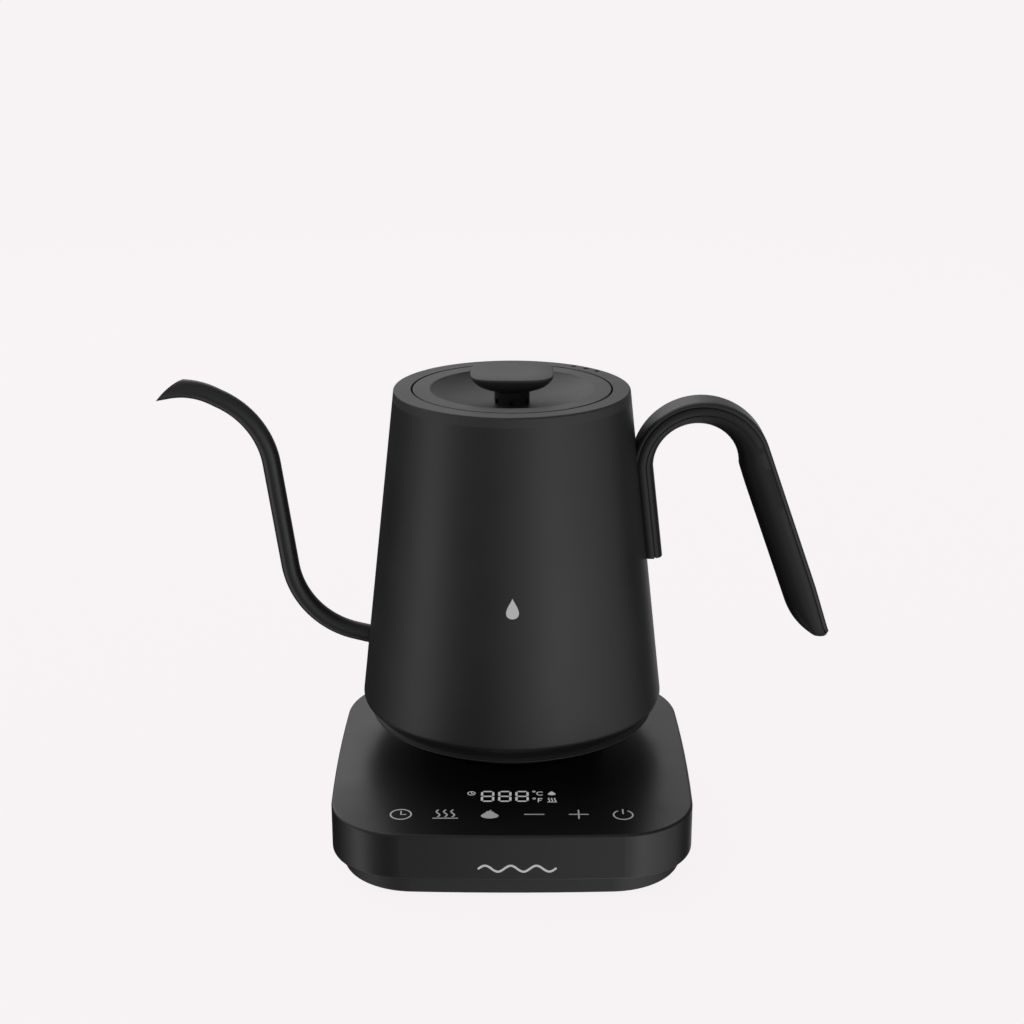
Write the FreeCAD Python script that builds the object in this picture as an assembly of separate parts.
"""Gooseneck electric kettle on a touch-control base, one STEP file per sub-part.

Millimetres, +Z up. The origin lies on the axis that the kettle turns on, in the
plane that the base stands on. +X points to the handle, -X to the spout and -Y to
the controls.
"""
import FreeCAD
import Part
import math
import os

from FreeCAD import Vector

# ---------------------------------------------------------------- base casing
BASE_TOP = 28.2
BASE_HALF_X = 73.6
BASE_HALF_Y = 78.6
BASE_CENTRE_Y = -21.8
BASE_FRONT_CORNER = 30.0
BASE_REAR_CORNER = 42.0
BASE_BOW = 2.4
PLINTH_CORNER = 34.0
SHELL_BOTTOM = 8.8
SHELL_WALL = 3.0
SHELL_TOP_EDGE = 1.0
SHELL_BOTTOM_EDGE = 1.0
TRAY_INSET = 4.3
TRAY_WALL = 2.2
TRAY_BOTTOM = 0.6
TRAY_FLOOR = 3.0
TRAY_BOTTOM_EDGE = 1.0
FLANGE_INSET = 3.2
FLANGE_TOP = 10.3
STRIP_INSET = 12.0
STRIP_WIDTH = 6.0
STRIP_TOP = 1.6
SCREW_POSTS = [(-43.0, -67.5), (43.0, -67.5), (-42.0, 26.0), (42.0, 26.0)]
POST_R = 4.0
POST_BOTTOM = 4.4
SHANK_R = 1.5
HEAD_R = 3.0
HEAD_SEAT = 2.2
HEAD_HEIGHT = 1.4

# ---------------------------------------------------------------- connector
TOWER_R = 19.8
TOWER_TOP = 37.6
TOWER_FLANGE_R = 26.0
PIN_R = 3.0
PIN_BORE_R = 3.8
BLADE_IN = 10.4
BLADE_OUT = 11.4
SLOT_IN = 9.6
SLOT_OUT = 12.2
CONTACT_DEPTH = 8.0
RING_IN = 20.2
RING_OUT = 23.4

# ---------------------------------------------------------------- kettle body
RIM_TOP = 181.3
RIM_R = 49.0
CONE_BOTTOM_Z = 48.6
CONE_BOTTOM_R = 64.2
LIP_Z = 39.8
LIP_R = 60.7
NECK_R = 59.4
NECK_Z = 41.6
WALL = 1.2
COLLAR_BOTTOM = 177.3
SKIRT_BOTTOM = 161.2
MOUTH_R = 41.7
LEDGE_R = 39.6
FLOOR_Z = 51.2
FOOT_R = 40.0
FOOT_Z = 28.5
FOOT_INNER_R = 24.0
STEAM_HOLE_R = 1.15
STEAM_HOLE_CIRCLE = 46.4
STEAM_HOLE_ANGLES = [38.4, 46.6, 54.8]
PROBE_AT = (20.0, 25.0)
PROBE_R = 2.4
PROBE_SEAL_R = 4.4
FOOT_SCREW_CIRCLE = 31.0

# ---------------------------------------------------------------- spout
SPOUT_R = 3.85
SPOUT_BORE_R = 3.05
SPOUT_ROUTE = [(-50.0, 69.2), (-91.2, 79.3), (-103.2, 167.5), (-132.5, 182.1), (-153.0, 178.4)]
SPOUT_BENDS = [36.2, 36.3, 29.3]
BEAK_TOP = (-135.3, 184.8)
BEAK_BULGE = (-142.1, 180.7)
BEAK_POINT = (-147.5, 175.5)

# ---------------------------------------------------------------- handle
HANDLE_HALF_WIDTH = 8.0
ARCH_CENTRE = (79.1, 147.5)
ARCH_R = 29.2
FINGER_CENTRE = (77.0, 148.6)
FINGER_R = 18.0
GRIP_LEAN = 20.0
GRIP_KINK = (95.6, 146.2)
LEG_BOTTOM = (63.8, 108.9)
LEG_SLOPE = (FINGER_CENTRE[0] - FINGER_R - LEG_BOTTOM[0]) / (FINGER_CENTRE[1] - LEG_BOTTOM[1])
GRIP_END_Z = 72.9
GRIP_ROUND_Z = 88.0
CAP_THICKNESS = 1.7
GROOVE = 0.4
GROOVE_DEPTH = 0.6
CORE_EDGE = 3.0
CAP_EDGE = 0.8
BRACKET_THICKNESS = 1.6
HANDLE_HEAD_SINK = 0.8
HANDLE_SCREW_HEIGHTS = [120.2, 140.2]

# ---------------------------------------------------------------- lid
LID_R = 41.1
LID_BOTTOM = 169.2
DISH_R = 34.2
DISH_FLOOR = 175.0
STEM_R = 7.3
KNOB_TOP = 188.3
KNOB_BOTTOM = 182.1
KNOB_HALF = 17.2
KNOB_CORNER = 9.5
LINER_R = 38.8
LINER_BOTTOM = 159.7
LINER_TOP = 170.7
SEAL_BOTTOM = 161.6
SEAL_TOP = 165.6

# ---------------------------------------------------------------- electronics
GLAND_R = 4.4
GLAND_Z = 16.0
GLAND_WALL_Y = BASE_CENTRE_Y + BASE_HALF_Y
GLAND_BORE_R = 3.1
BOARD_POSTS = [(-29.0, 28.0), (29.0, 28.0), (-22.0, 40.0), (22.0, 40.0)]
POWER_BOARD_Z = 8.0
CONTROL_BOARD_Z = 21.6
BOARD = 1.6
PANEL_UNDERSIDE = BASE_TOP - SHELL_WALL
KEY_PITCH = 17.6
KEY_ROW_Y = -82.5
KEY_COUNT = 6


# ================================================================ helpers
def xz(point):
    return Vector(point[0], 0, point[1])


def outline(start, *steps):
    """Closed wire in the XZ plane. A step is a point, or (via, end) for an arc."""
    edges = []
    here = xz(start)
    for step in steps:
        if isinstance(step[0], tuple):
            end = xz(step[1])
            edges.append(Part.Arc(here, xz(step[0]), end).toShape())
        else:
            end = xz(step)
            edges.append(Part.LineSegment(here, end).toShape())
        here = end
    if here.distanceToPoint(xz(start)) > 1e-6:
        edges.append(Part.LineSegment(here, xz(start)).toShape())
    return Part.Wire(edges)


def turned(start, *steps):
    """Solid of revolution about Z of an outline given as (radius, z)."""
    return Part.Face(outline(start, *steps)).revolve(Vector(0, 0, 0), Vector(0, 0, 1), 360)


def strap(wire, half_width):
    """Flat prism of an XZ outline, centred on Y = 0."""
    face = Part.Face(wire)
    face.translate(Vector(0, -half_width, 0))
    return face.extrude(Vector(0, 2 * half_width, 0))


def rod(radius, z0, z1, x=0.0, y=0.0):
    return Part.makeCylinder(radius, z1 - z0, Vector(x, y, z0))


def tube(inner, outer, z0, z1, x=0.0, y=0.0):
    return rod(outer, z0, z1, x, y).cut(rod(inner, z0 - 1, z1 + 1, x, y))


def block(x0, x1, y0, y1, z0, z1):
    return Part.makeBox(x1 - x0, y1 - y0, z1 - z0, Vector(x0, y0, z0))


def level_edges(shape, z):
    return [e for e in shape.Edges if abs(e.BoundBox.ZMin - z) < 1e-4 and abs(e.BoundBox.ZMax - z) < 1e-4]


def upright_edges(shape):
    upright = []
    for edge in shape.Edges:
        first, last = edge.Vertexes[0].Point, edge.Vertexes[-1].Point
        if abs(first.z - last.z) > 0.1 and math.hypot(first.x - last.x, first.y - last.y) < 1e-4:
            upright.append(edge)
    return upright


def bowed_block(inset, z0, z1, front_corner=BASE_FRONT_CORNER):
    """The base's outline moved inwards by inset: four bowed sides and round corners."""
    half_x = BASE_HALF_X - inset
    half_y = BASE_HALF_Y - inset
    corners = [(half_x, half_y), (-half_x, half_y), (-half_x, -half_y), (half_x, -half_y)]
    middles = [(0, half_y), (-half_x, 0), (0, -half_y), (half_x, 0)]
    corners = [(x - math.copysign(BASE_BOW, x), y - math.copysign(BASE_BOW, y)) for x, y in corners]
    edges = []
    for index, middle in enumerate(middles):
        first = corners[index]
        last = corners[(index + 1) % 4]
        places = [Vector(x, y + BASE_CENTRE_Y, z0) for x, y in (first, middle, last)]
        edges.append(Part.Arc(*places).toShape())
    solid = Part.Face(Part.Wire(edges)).extrude(Vector(0, 0, z1 - z0))
    front = [e for e in upright_edges(solid) if e.CenterOfMass.y < BASE_CENTRE_Y]
    solid = solid.makeFillet(front_corner - inset, front)
    corner_y = BASE_CENTRE_Y + half_y - BASE_BOW
    rear = [e for e in upright_edges(solid) if abs(e.CenterOfMass.y - corner_y) < 0.1]
    return solid.makeFillet(BASE_REAR_CORNER - inset, rear)


def cone_radius(z):
    """Outer radius of the kettle's straight conical side at height z."""
    share = (z - CONE_BOTTOM_Z) / (RIM_TOP - CONE_BOTTOM_Z)
    return CONE_BOTTOM_R + share * (RIM_R - CONE_BOTTOM_R)


def cone_solid(offset, z0, z1):
    return Part.makeCone(cone_radius(z0) + offset, cone_radius(z1) + offset, z1 - z0, Vector(0, 0, z0))


def screw(x, y, head_z, tip_z):
    """Pan-head screw along Z. The head lies beyond head_z, away from the tip."""
    down = 1 if tip_z > head_z else -1
    shank = rod(SHANK_R, min(head_z, tip_z), max(head_z, tip_z), x, y)
    slot_z = head_z - down * HEAD_HEIGHT
    head = rod(HEAD_R, min(head_z, slot_z), max(head_z, slot_z), x, y)
    slot = block(x - 2.2, x + 2.2, y - 0.4, y + 0.4, slot_z - 0.7, slot_z + 0.7)
    return head.fuse(shank).cut(slot).removeSplitter()


# ================================================================ base
def base_top_shell():
    shell = bowed_block(0, SHELL_BOTTOM, BASE_TOP)
    shell = shell.makeFillet(SHELL_BOTTOM_EDGE, level_edges(shell, SHELL_BOTTOM))
    shell = shell.makeFillet(SHELL_TOP_EDGE, level_edges(shell, BASE_TOP))
    shell = shell.cut(bowed_block(SHELL_WALL, SHELL_BOTTOM - 1, PANEL_UNDERSIDE))
    shell = shell.cut(rod(TOWER_R + 0.1, PANEL_UNDERSIDE - 1, BASE_TOP + 1))
    for x, y in SCREW_POSTS:
        post = rod(POST_R, POST_BOTTOM, PANEL_UNDERSIDE, x, y).cut(rod(SHANK_R, POST_BOTTOM - 1, 16.0, x, y))
        shell = shell.fuse(post)
    gland_hole = Part.makeCylinder(GLAND_R, 20, Vector(0, GLAND_WALL_Y - 10, GLAND_Z), Vector(0, 1, 0))
    return shell.cut(gland_hole).removeSplitter()


def base_tray():
    """Plinth pan with a flange that closes the shell's underside."""
    tray = bowed_block(TRAY_INSET, TRAY_BOTTOM, SHELL_BOTTOM, PLINTH_CORNER)
    tray = tray.makeFillet(TRAY_BOTTOM_EDGE, level_edges(tray, TRAY_BOTTOM))
    tray = tray.fuse(bowed_block(FLANGE_INSET, SHELL_BOTTOM, FLANGE_TOP))
    tray = tray.cut(bowed_block(TRAY_INSET + TRAY_WALL, TRAY_FLOOR, FLANGE_TOP + 1, PLINTH_CORNER))
    for x, y in SCREW_POSTS:
        tray = tray.cut(rod(SHANK_R + 0.2, 0, 5, x, y)).cut(rod(HEAD_R + 0.3, 0, HEAD_SEAT, x, y))
    for x, y in BOARD_POSTS:
        tray = tray.fuse(rod(3.0, TRAY_FLOOR, POWER_BOARD_Z, x, y))
    return tray.cut(strip_loop(TRAY_BOTTOM, STRIP_TOP)).removeSplitter()


def strip_loop(z0, z1):
    outside = bowed_block(STRIP_INSET, z0, z1, PLINTH_CORNER)
    return outside.cut(bowed_block(STRIP_INSET + STRIP_WIDTH, z0 - 1, z1 + 1, PLINTH_CORNER))


def anti_slip_strip():
    return strip_loop(0.0, STRIP_TOP)


def base_screws():
    return Part.makeCompound([screw(x, y, HEAD_SEAT, 14.0) for x, y in SCREW_POSTS])


def base_connector():
    """Round tower with a central bore and a ring slot for the kettle's contacts."""
    tower = turned(
        (PIN_BORE_R, PANEL_UNDERSIDE - 6.0),
        (TOWER_FLANGE_R, PANEL_UNDERSIDE - 6.0),
        (TOWER_FLANGE_R, PANEL_UNDERSIDE),
        (TOWER_R, PANEL_UNDERSIDE),
        (TOWER_R, TOWER_TOP - 1.5),
        ((TOWER_R - 0.44, TOWER_TOP - 0.44), (TOWER_R - 1.5, TOWER_TOP)),
        (PIN_BORE_R, TOWER_TOP),
    )
    slot = tube(SLOT_IN, SLOT_OUT, TOWER_TOP - CONTACT_DEPTH - 2.0, TOWER_TOP + 1)
    return tower.cut(slot)


def base_contacts():
    """Three sprung contact strips under the tower's slot and bore."""
    strips = []
    for angle in (20, 140, 260):
        strip = block(SLOT_OUT + 0.3, SLOT_OUT + 5.5, -2.0, 2.0, 14.0, 18.0)
        strip.rotate(Vector(0, 0, 0), Vector(0, 0, 1), angle)
        strips.append(strip)
    return Part.makeCompound(strips)


def glide_ring():
    ring = tube(RING_IN, RING_OUT, BASE_TOP + 0.3, BASE_TOP + 2.8)
    return ring.makeFillet(0.5, level_edges(ring, BASE_TOP + 2.8))


def power_board():
    board = block(-34, 34, 24, 44, POWER_BOARD_Z, POWER_BOARD_Z + BOARD)
    return board.makeFillet(2.0, upright_edges(board))


def on_power_board(x0, x1, y0, y1, height):
    z0 = POWER_BOARD_Z + BOARD
    return block(x0, x1, y0, y1, z0, z0 + height)


def relay():
    body = on_power_board(-33, -16, 27, 41, 12.5)
    return body.makeFillet(1.0, upright_edges(body))


def transformer():
    """Laminated core with a winding bobbin through it."""
    core = on_power_board(14, 33, 27, 41, 13.0)
    bobbin = on_power_board(18, 29, 25, 43, 11.0)
    return core.fuse(bobbin).removeSplitter()


def capacitor():
    z0 = POWER_BOARD_Z + BOARD
    can = rod(5.0, z0, z0 + 12.5, -8.0, 36.0)
    return can.makeFillet(0.8, level_edges(can, z0 + 12.5))


def terminal_block():
    body = on_power_board(-2, 12, 35.5, 42, 9.0)
    for index in range(3):
        hole_x = 0.4 + index * 4.6
        body = body.cut(rod(1.3, POWER_BOARD_Z + BOARD + 4, POWER_BOARD_Z + BOARD + 10, hole_x, 38.7))
    return body


def control_board():
    board = block(-52, 52, -92, -52, CONTROL_BOARD_Z - BOARD, CONTROL_BOARD_Z)
    board = board.makeFillet(6.0, upright_edges(board))
    for x, y in SCREW_POSTS[:2]:
        board = board.cut(rod(POST_R + 0.2, CONTROL_BOARD_Z - 3, CONTROL_BOARD_Z + 1, x, y))
    return board


def key_x(index):
    return (index - (KEY_COUNT - 1) / 2) * KEY_PITCH


def touch_springs():
    """One coil-topped electrode under each touch key, drawn as a flanged sleeve."""
    sleeves = []
    for index in range(KEY_COUNT):
        x = key_x(index)
        sleeve = tube(3.2, 4.2, CONTROL_BOARD_Z, PANEL_UNDERSIDE - 0.6, x, KEY_ROW_Y)
        plate = rod(6.0, PANEL_UNDERSIDE - 0.6, PANEL_UNDERSIDE, x, KEY_ROW_Y)
        sleeves.append(sleeve.fuse(plate).removeSplitter())
    return Part.makeCompound(sleeves)


def led_display():
    return block(-19, 19, -73, -59.5, CONTROL_BOARD_Z, PANEL_UNDERSIDE)


def buzzer():
    return tube(1.2, 6.0, CONTROL_BOARD_Z - BOARD - 6.0, CONTROL_BOARD_Z - BOARD, 28.0, -62.0)


def cord_gland():
    """Stepped bush in the rear wall that the mains cord comes out of."""
    along_y = Vector(0, 1, 0)
    wall_y = GLAND_WALL_Y
    inner_y = wall_y - SHELL_WALL - 2.4
    neck = Part.makeCylinder(GLAND_R - 0.05, SHELL_WALL + 4.0, Vector(0, inner_y, GLAND_Z), along_y)
    inner = Part.makeCylinder(5.3, 2.3, Vector(0, inner_y, GLAND_Z), along_y)
    outer = Part.makeCone(5.8, 4.9, 4.0, Vector(0, wall_y + 0.05, GLAND_Z), along_y)
    bore = Part.makeCylinder(GLAND_BORE_R, 30, Vector(0, wall_y - 15, GLAND_Z), along_y)
    return neck.fuse([inner, outer]).cut(bore).removeSplitter()


# ================================================================ kettle
def vessel_shell():
    """Steel body: straight cone, drawn-in neck with a rolled lip, and welded-in floor."""
    inner_top = cone_radius(COLLAR_BOTTOM) - WALL
    inner_floor = cone_radius(FLOOR_Z + WALL) - WALL
    inner_below = cone_radius(FLOOR_Z) - WALL
    shell = turned(
        (cone_radius(COLLAR_BOTTOM), COLLAR_BOTTOM),
        (CONE_BOTTOM_R, CONE_BOTTOM_Z),
        ((CONE_BOTTOM_R - 0.15, CONE_BOTTOM_Z - 1.8), (CONE_BOTTOM_R - 1.3, CONE_BOTTOM_Z - 3.4)),
        (NECK_R, NECK_Z),
        (LIP_R - 0.4, LIP_Z + 0.9),
        ((LIP_R, LIP_Z + 0.45), (LIP_R - 0.4, LIP_Z)),
        (NECK_R - WALL, LIP_Z),
        (NECK_R - WALL, NECK_Z),
        (CONE_BOTTOM_R - 1.3 - WALL, CONE_BOTTOM_Z - 2.6),
        (inner_below, FLOOR_Z),
        (0.0, FLOOR_Z),
        (0.0, FLOOR_Z + WALL),
        (inner_floor, FLOOR_Z + WALL),
        (inner_top, COLLAR_BOTTOM),
    )
    shell = shell.cut(rod(PROBE_SEAL_R, FLOOR_Z - 1, FLOOR_Z + WALL + 1, *PROBE_AT))
    return shell.cut(sweep_along_spout(SPOUT_R + 0.05, whole=False))


def rim_collar():
    """Ring that closes the top of the wall, with the lid's seat and steam holes."""
    skirt_r = cone_radius(COLLAR_BOTTOM) - WALL - 0.05
    collar = turned(
        (MOUTH_R, RIM_TOP - 0.3),
        ((MOUTH_R + 0.09, RIM_TOP - 0.09), (MOUTH_R + 0.3, RIM_TOP)),
        (RIM_R - 0.7, RIM_TOP),
        ((RIM_R - 0.18, RIM_TOP - 0.2), (cone_radius(RIM_TOP - 0.75), RIM_TOP - 0.75)),
        (cone_radius(COLLAR_BOTTOM), COLLAR_BOTTOM),
        (skirt_r, COLLAR_BOTTOM),
        (skirt_r, SKIRT_BOTTOM),
        (LEDGE_R, SKIRT_BOTTOM),
        (LEDGE_R, LID_BOTTOM - 0.3),
        (MOUTH_R, LID_BOTTOM - 0.3),
    )
    steam_path = tube(44.6, 47.4, SKIRT_BOTTOM - 1, RIM_TOP - 1.6)
    collar = collar.cut(steam_path.common(block(24, 60, 24, 60, 150, RIM_TOP + 1)))
    for angle in STEAM_HOLE_ANGLES:
        x = STEAM_HOLE_CIRCLE * math.cos(math.radians(angle))
        y = STEAM_HOLE_CIRCLE * math.sin(math.radians(angle))
        collar = collar.cut(rod(STEAM_HOLE_R, RIM_TOP - 3, RIM_TOP + 1, x, y))
    return collar


def spout_path():
    """Straight runs joined by tangent arcs, from inside the wall to past the tip."""
    points = [xz(point) for point in SPOUT_ROUTE]
    edges = []
    here = points[0]
    for index, radius in enumerate(SPOUT_BENDS):
        before, corner, after = points[index:index + 3]
        back = (before - corner).normalize()
        ahead = (after - corner).normalize()
        half = back.getAngle(ahead) / 2
        reach = radius / math.tan(half)
        first = corner + back * reach
        last = corner + ahead * reach
        middle = corner + (back + ahead).normalize() * (radius / math.sin(half) - radius)
        edges.append(Part.LineSegment(here, first).toShape())
        edges.append(Part.Arc(first, middle, last).toShape())
        here = last
    edges.append(Part.LineSegment(here, points[-1]).toShape())
    return edges


def sweep_along_spout(radius, whole=True):
    edges = spout_path()
    if not whole:
        edges = edges[:1]
    start = xz(SPOUT_ROUTE[0])
    heading = xz(SPOUT_ROUTE[1]) - start
    circle = Part.Wire(Part.Circle(start, heading, radius).toShape())
    return Part.Wire(edges).makePipeShell([circle], True, False)


def spout():
    body = sweep_along_spout(SPOUT_R).cut(sweep_along_spout(SPOUT_BORE_R))
    body = body.cut(cone_solid(-WALL, FLOOR_Z, 120.0))
    beyond = outline(
        BEAK_TOP,
        (BEAK_BULGE, BEAK_POINT),
        (BEAK_POINT[0] - 1.0, BEAK_POINT[1] - 8.0),
        (BEAK_POINT[0] - 20.0, BEAK_POINT[1] - 8.0),
        (BEAK_POINT[0] - 20.0, BEAK_TOP[1] + 12.0),
        (BEAK_TOP[0] + 6.0, BEAK_TOP[1] + 12.0),
    )
    return body.cut(strap(beyond, 10.0))


def on_arch(angle, inward):
    """Point on the handle's outer arc, moved inwards; angle from +X in degrees."""
    reach = ARCH_R - inward
    turn = math.radians(angle)
    return (ARCH_CENTRE[0] + reach * math.cos(turn), ARCH_CENTRE[1] + reach * math.sin(turn))


def on_grip(z, inward):
    """Point on the grip's straight outer line, moved inwards, at height z."""
    top = on_arch(GRIP_LEAN, inward)
    return (top[0] + (top[1] - z) * math.tan(math.radians(GRIP_LEAN)), z)


def core_wire(inward):
    kink_x, kink_z = GRIP_KINK
    slope = math.tan(math.radians(GRIP_LEAN))
    inner_x = kink_x + (kink_z - GRIP_ROUND_Z) * slope
    end_x = on_grip(GRIP_END_Z, inward)[0]
    left = on_arch(172.0, inward)
    return outline(
        LEG_BOTTOM,
        (FINGER_CENTRE[0] - FINGER_R, FINGER_CENTRE[1]),
        ((FINGER_CENTRE[0], FINGER_CENTRE[1] + FINGER_R), (FINGER_CENTRE[0] + FINGER_R, FINGER_CENTRE[1])),
        GRIP_KINK,
        (inner_x, GRIP_ROUND_Z),
        ((inner_x + 4.1, GRIP_END_Z + 5.2), (inner_x + 12.5, GRIP_END_Z)),
        (end_x - 6.0, GRIP_END_Z),
        ((end_x - 1.9, GRIP_END_Z + 1.1), on_grip(GRIP_END_Z + 4.6, inward)),
        on_arch(GRIP_LEAN, inward),
        (on_arch(90.0, inward), left),
        (LEG_BOTTOM[0] - 14.0, LEG_BOTTOM[1]),
    )


def handle_core():
    """Grip and leg: narrow behind the groove, full width inside it."""
    core = strap(core_wire(CAP_THICKNESS + GROOVE), HANDLE_HALF_WIDTH)
    finger_side = []
    for edge in core.Edges:
        middle = edge.CenterOfMass
        across = abs(edge.BoundBox.YLength) < 1e-4
        reach = math.hypot(middle.x - FINGER_CENTRE[0], middle.z - FINGER_CENTRE[1])
        on_leg = 58.0 < middle.x < 66.0 and middle.z > LEG_BOTTOM[1] + 2.0
        on_inner = GRIP_KINK[0] - 1 < middle.x < 116.0 and middle.z < GRIP_KINK[1] + 2.0
        if across and (reach < FINGER_R + 0.5 or on_leg or on_inner):
            finger_side.append(edge)
    core = core.makeFillet(CORE_EDGE, finger_side)
    tongue = strap(core_wire(CAP_THICKNESS), HANDLE_HALF_WIDTH - GROOVE_DEPTH)
    core = core.fuse(tongue.cut(strap(core_wire(CAP_THICKNESS + GROOVE + 1.0), 20.0)))
    core = core.cut(cone_solid(0.0, 90.0, RIM_TOP))
    core = core.cut(handle_bracket())
    for z in HANDLE_SCREW_HEIGHTS:
        core = core.cut(handle_screw(z, 0.05))
    return core.removeSplitter()


def handle_cap():
    """Thin outer strip that runs over the arch and down the back of the grip."""
    end_z = GRIP_END_Z + 5.0
    left_out = on_arch(165.0, 0.0)
    left_in = on_arch(165.0, CAP_THICKNESS)
    wire = outline(
        on_grip(end_z, 0.0),
        on_arch(GRIP_LEAN, 0.0),
        (on_arch(90.0, 0.0), left_out),
        left_in,
        (on_arch(90.0, CAP_THICKNESS), on_arch(GRIP_LEAN, CAP_THICKNESS)),
        on_grip(end_z, CAP_THICKNESS),
    )
    cap = strap(wire, HANDLE_HALF_WIDTH)
    outer_edges = []
    for edge in cap.Edges:
        middle = edge.valueAt((edge.FirstParameter + edge.LastParameter) / 2)
        reach = math.hypot(middle.x - ARCH_CENTRE[0], middle.z - ARCH_CENTRE[1])
        level = abs(edge.BoundBox.YLength) < 1e-4
        along_grip = abs(middle.x - on_grip(middle.z, 0.0)[0]) < 0.2
        if level and edge.Length > 10 and (abs(reach - ARCH_R) < 0.2 or along_grip):
            outer_edges.append(edge)
    cap = cap.makeFillet(CAP_EDGE, outer_edges)
    return cap.cut(cone_solid(0.0, 90.0, RIM_TOP))


def handle_bracket():
    """Steel strip welded to the wall inside the handle's leg."""
    low, high = LEG_BOTTOM[1] + 4.0, FINGER_CENTRE[1]
    wire = outline(
        (cone_radius(low) - 1.0, low),
        (cone_radius(low) + BRACKET_THICKNESS, low),
        (cone_radius(high) + BRACKET_THICKNESS, high),
        (cone_radius(high) - 1.0, high),
    )
    return strap(wire, 4.5).cut(cone_solid(0.0, 90.0, RIM_TOP))


def handle_screw(z, clearance):
    """Countersunk screw driven from the finger side of the leg, its head below the surface."""
    start_x = cone_radius(z) + BRACKET_THICKNESS + 0.2
    end_x = LEG_BOTTOM[0] + (z - LEG_BOTTOM[1]) * LEG_SLOPE - HANDLE_HEAD_SINK
    along_x = Vector(1, 0, 0)
    shank = Part.makeCylinder(1.1 + clearance, end_x - start_x, Vector(start_x, 0, z), along_x)
    head_length = 1.6
    head_start = Vector(end_x - head_length, 0, z)
    head = Part.makeCone(1.1 + clearance, 2.4 + clearance, head_length, head_start, along_x)
    screw = shank.fuse(head)
    if clearance > 0:
        way_in = Part.makeCylinder(2.4 + clearance, 6.0, Vector(end_x, 0, z), along_x)
        screw = screw.fuse(way_in)
    return screw.removeSplitter()


def handle_screws():
    return Part.makeCompound([handle_screw(z, 0.0) for z in HANDLE_SCREW_HEIGHTS])


def heater_plate():
    plate = rod(54.0, FLOOR_Z - 3.0, FLOOR_Z)
    return plate.cut(rod(PROBE_SEAL_R, FLOOR_Z - 4, FLOOR_Z + 1, *PROBE_AT))


def heating_element():
    """Tubular element bent to an open ring under the heater plate, ends turned down."""
    radius, bar = 44.0, 3.0
    ring = Part.makeTorus(radius, bar, Vector(0, 0, FLOOR_Z - 3.0 - bar), Vector(0, 0, 1), 0, 360, 320)
    ring.rotate(Vector(0, 0, 0), Vector(0, 0, 1), 110)
    return ring


def thermal_cutouts():
    cutouts = []
    for x, y in ((-25.5, 18.0), (18.0, -25.0)):
        disc = rod(6.5, FLOOR_Z - 7.4, FLOOR_Z - 3.0, x, y)
        tab = block(x - 9.0, x + 9.0, y - 2.0, y + 2.0, FLOOR_Z - 6.6, FLOOR_Z - 5.8)
        cutouts.append(disc.fuse(tab).removeSplitter())
    return Part.makeCompound(cutouts)


def temperature_probe():
    tip_z = FLOOR_Z + 7.5
    probe = rod(PROBE_R, FLOOR_Z - 6.0, tip_z, *PROBE_AT)
    return probe.makeFillet(1.2, level_edges(probe, tip_z))


def probe_seal():
    seal = tube(PROBE_R, PROBE_SEAL_R, FLOOR_Z - 3.0, FLOOR_Z + WALL, *PROBE_AT)
    lip = tube(PROBE_R, PROBE_SEAL_R + 1.2, FLOOR_Z + WALL, FLOOR_Z + WALL + 0.8, *PROBE_AT)
    return seal.fuse(lip).removeSplitter()


def kettle_foot():
    """Plastic under-cover with the ring that the kettle stands on."""
    rim_r = NECK_R - WALL - 0.1
    foot = turned(
        (rim_r, LIP_Z + 0.2),
        (FOOT_R + 2.0, LIP_Z + 0.2),
        (FOOT_R, LIP_Z - 1.8),
        (FOOT_R, FOOT_Z + 0.8),
        (FOOT_R - 0.8, FOOT_Z),
        (FOOT_R - 3.2, FOOT_Z),
        (FOOT_R - 3.2, LIP_Z - 3.0),
        (FOOT_INNER_R, LIP_Z - 3.0),
        (FOOT_INNER_R, LIP_Z - 0.8),
        (FOOT_R - 2.6, LIP_Z - 0.8),
        (FOOT_R + 0.4, LIP_Z + 2.2),
        (rim_r, LIP_Z + 2.2),
    )
    for x, y in foot_screw_places():
        foot = foot.cut(rod(SHANK_R + 0.2, LIP_Z - 4, LIP_Z + 1, x, y))
    return foot


def foot_screw_places():
    angles = [math.radians(angle) for angle in (100, 220, 340)]
    return [(FOOT_SCREW_CIRCLE * math.cos(a), FOOT_SCREW_CIRCLE * math.sin(a)) for a in angles]


def foot_screws():
    return Part.makeCompound([screw(x, y, LIP_Z - 3.0, FLOOR_Z - 6.5) for x, y in foot_screw_places()])


def kettle_connector():
    """Housing of the kettle's half of the connector, with a ring blade below it."""
    housing = turned(
        (PIN_R, TOWER_TOP + 0.5),
        (FOOT_INNER_R - 0.1, TOWER_TOP + 0.5),
        (FOOT_INNER_R - 0.1, FLOOR_Z - 7.0),
        (15.0, FLOOR_Z - 7.0),
        (15.0, FLOOR_Z - 3.0),
        (PIN_R, FLOOR_Z - 3.0),
    )
    return housing


def connector_blade():
    return tube(BLADE_IN, BLADE_OUT, TOWER_TOP - CONTACT_DEPTH, TOWER_TOP + 0.5)


def connector_pin():
    pin = rod(PIN_R, TOWER_TOP - CONTACT_DEPTH, FLOOR_Z - 6.0)
    return pin.makeChamfer(0.8, level_edges(pin, TOWER_TOP - CONTACT_DEPTH))


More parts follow.
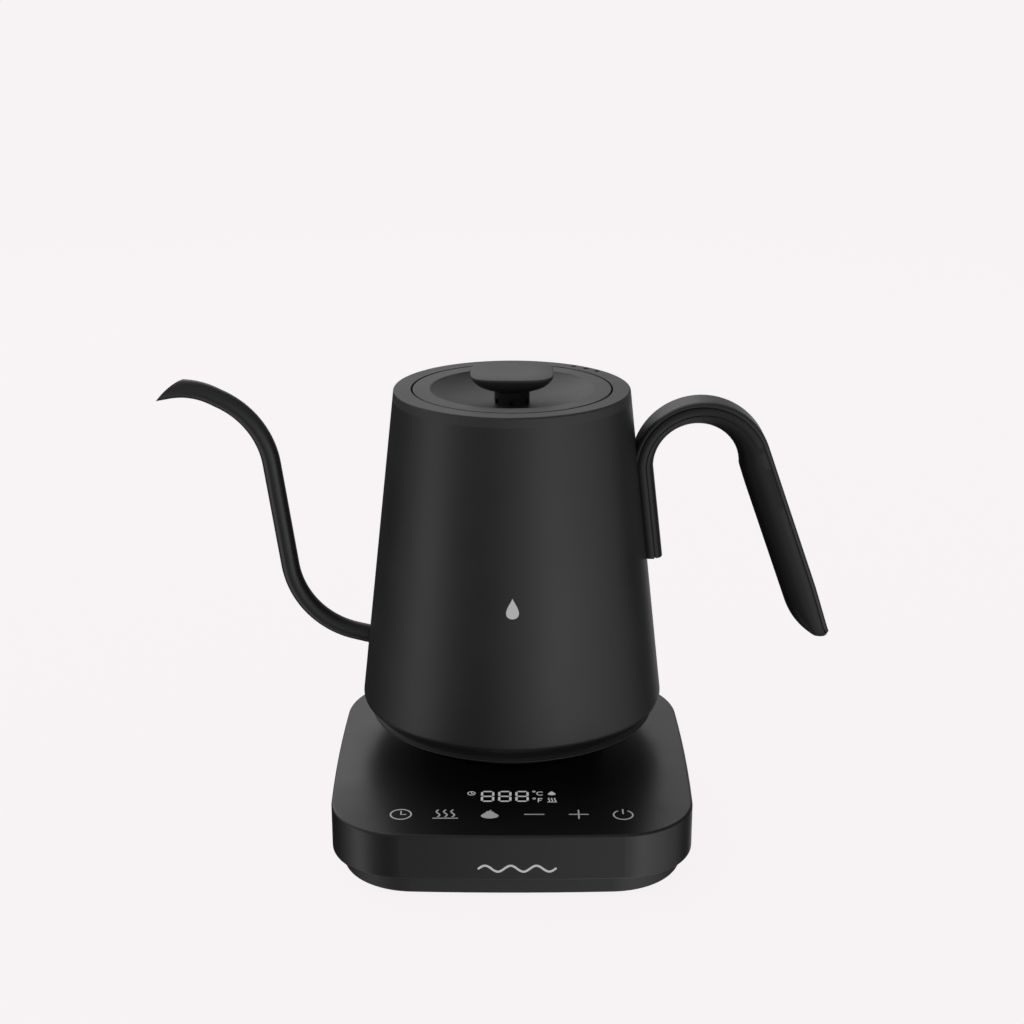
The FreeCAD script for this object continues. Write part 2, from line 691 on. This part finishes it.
# ================================================================ lid
def lid_top():
    """Flat ring with a shallow dish, and the wall that drops into the collar."""
    return turned(
        (0.0, DISH_FLOOR),
        (STEM_R, DISH_FLOOR),
        ((22.0, DISH_FLOOR + 1.6), (DISH_R - 1.0, RIM_TOP - 0.5)),
        ((DISH_R - 0.4, RIM_TOP - 0.12), (DISH_R, RIM_TOP)),
        (LID_R - 0.4, RIM_TOP),
        ((LID_R - 0.12, RIM_TOP - 0.12), (LID_R, RIM_TOP - 0.4)),
        (LID_R, LID_BOTTOM),
        (LID_R - 2.2, LID_BOTTOM),
        (LID_R - 2.2, RIM_TOP - 2.4),
        (DISH_R - 1.0, RIM_TOP - 2.9),
        ((22.0, DISH_FLOOR - 0.6), (STEM_R, DISH_FLOOR - 2.2)),
        (0.0, DISH_FLOOR - 2.2),
    ).cut(rod(SHANK_R + 0.2, DISH_FLOOR - 3, DISH_FLOOR + 1))


def knob_slab(half, corner, z0, z1):
    slab = block(-half, half, -half, half, z0, z1)
    return slab.makeFillet(corner, upright_edges(slab))


def knob_cap():
    """Squircle disc with a nearly flat top and a bowl-shaped underside."""
    cap = knob_slab(KNOB_HALF, KNOB_CORNER, KNOB_BOTTOM, KNOB_TOP)
    cap = cap.makeFillet(3.6, level_edges(cap, KNOB_BOTTOM))
    cap = cap.makeFillet(0.5, level_edges(cap, KNOB_TOP))
    return cap.cut(rod(SHANK_R, KNOB_BOTTOM - 1, KNOB_BOTTOM + 3.5))


def knob_stem():
    """Hollow stem with steam notches round its foot."""
    stem = turned(
        (SHANK_R + 0.2, DISH_FLOOR),
        (STEM_R, DISH_FLOOR),
        (STEM_R, KNOB_BOTTOM),
        (SHANK_R + 0.2, KNOB_BOTTOM),
    )
    for index in range(6):
        notch = block(STEM_R - 2.6, STEM_R + 1, -1.1, 1.1, DISH_FLOOR + 0.4, DISH_FLOOR + 2.4)
        notch.rotate(Vector(0, 0, 0), Vector(0, 0, 1), 30 + 60 * index)
        stem = stem.cut(notch)
    return stem


def lid_screw():
    return screw(0.0, 0.0, DISH_FLOOR - 2.2, KNOB_BOTTOM + 3.0)


def lid_liner():
    """Steel pan that closes the lid from below, with the groove for the seal."""
    return turned(
        (0.0, LINER_BOTTOM),
        (LINER_R - 2.4, LINER_BOTTOM),
        (LINER_R - 2.4, SEAL_BOTTOM),
        (LINER_R - 1.2, SEAL_BOTTOM),
        (LINER_R - 1.2, SEAL_TOP),
        (LINER_R, SEAL_TOP),
        (LINER_R, LINER_TOP),
        (LINER_R - 1.0, LINER_TOP),
        (LINER_R - 1.0, SEAL_TOP + 1.0),
        (LINER_R - 3.4, SEAL_TOP + 1.0),
        (LINER_R - 3.4, LINER_BOTTOM + 1.0),
        (0.0, LINER_BOTTOM + 1.0),
    )


def lid_seal():
    return turned(
        (LINER_R - 1.2, SEAL_BOTTOM + 0.2),
        (LEDGE_R - 0.5, SEAL_BOTTOM + 0.2),
        (LEDGE_R - 0.3, SEAL_BOTTOM + 1.0),
        (LEDGE_R - 0.9, (SEAL_BOTTOM + SEAL_TOP) / 2),
        (LEDGE_R - 0.3, SEAL_TOP - 1.0),
        (LEDGE_R - 0.5, SEAL_TOP - 0.2),
        (LINER_R - 1.2, SEAL_TOP - 0.2),
    )


# ================================================================ output
NODES = [
    base_top_shell, base_tray, anti_slip_strip, base_screws, base_connector, base_contacts,
    power_board, relay, transformer, capacitor, terminal_block,
    control_board, touch_springs, led_display, buzzer, cord_gland,
    glide_ring,
    vessel_shell, rim_collar, spout, handle_core, handle_cap, handle_bracket, handle_screws,
    heater_plate, heating_element, thermal_cutouts, temperature_probe, probe_seal,
    kettle_foot, foot_screws, kettle_connector, connector_blade, connector_pin,
    lid_top, knob_cap, knob_stem, lid_screw, lid_liner, lid_seal,
]


def main():
    os.makedirs("parts", exist_ok=True)
    for maker in NODES:
        shape = maker()
        shape.exportStep(os.path.join("parts", maker.__name__ + ".step"))
        state = "valid" if shape.isValid() else "NOT VALID"
        print(maker.__name__, state, len(shape.Solids), round(shape.Volume, 1))


main()
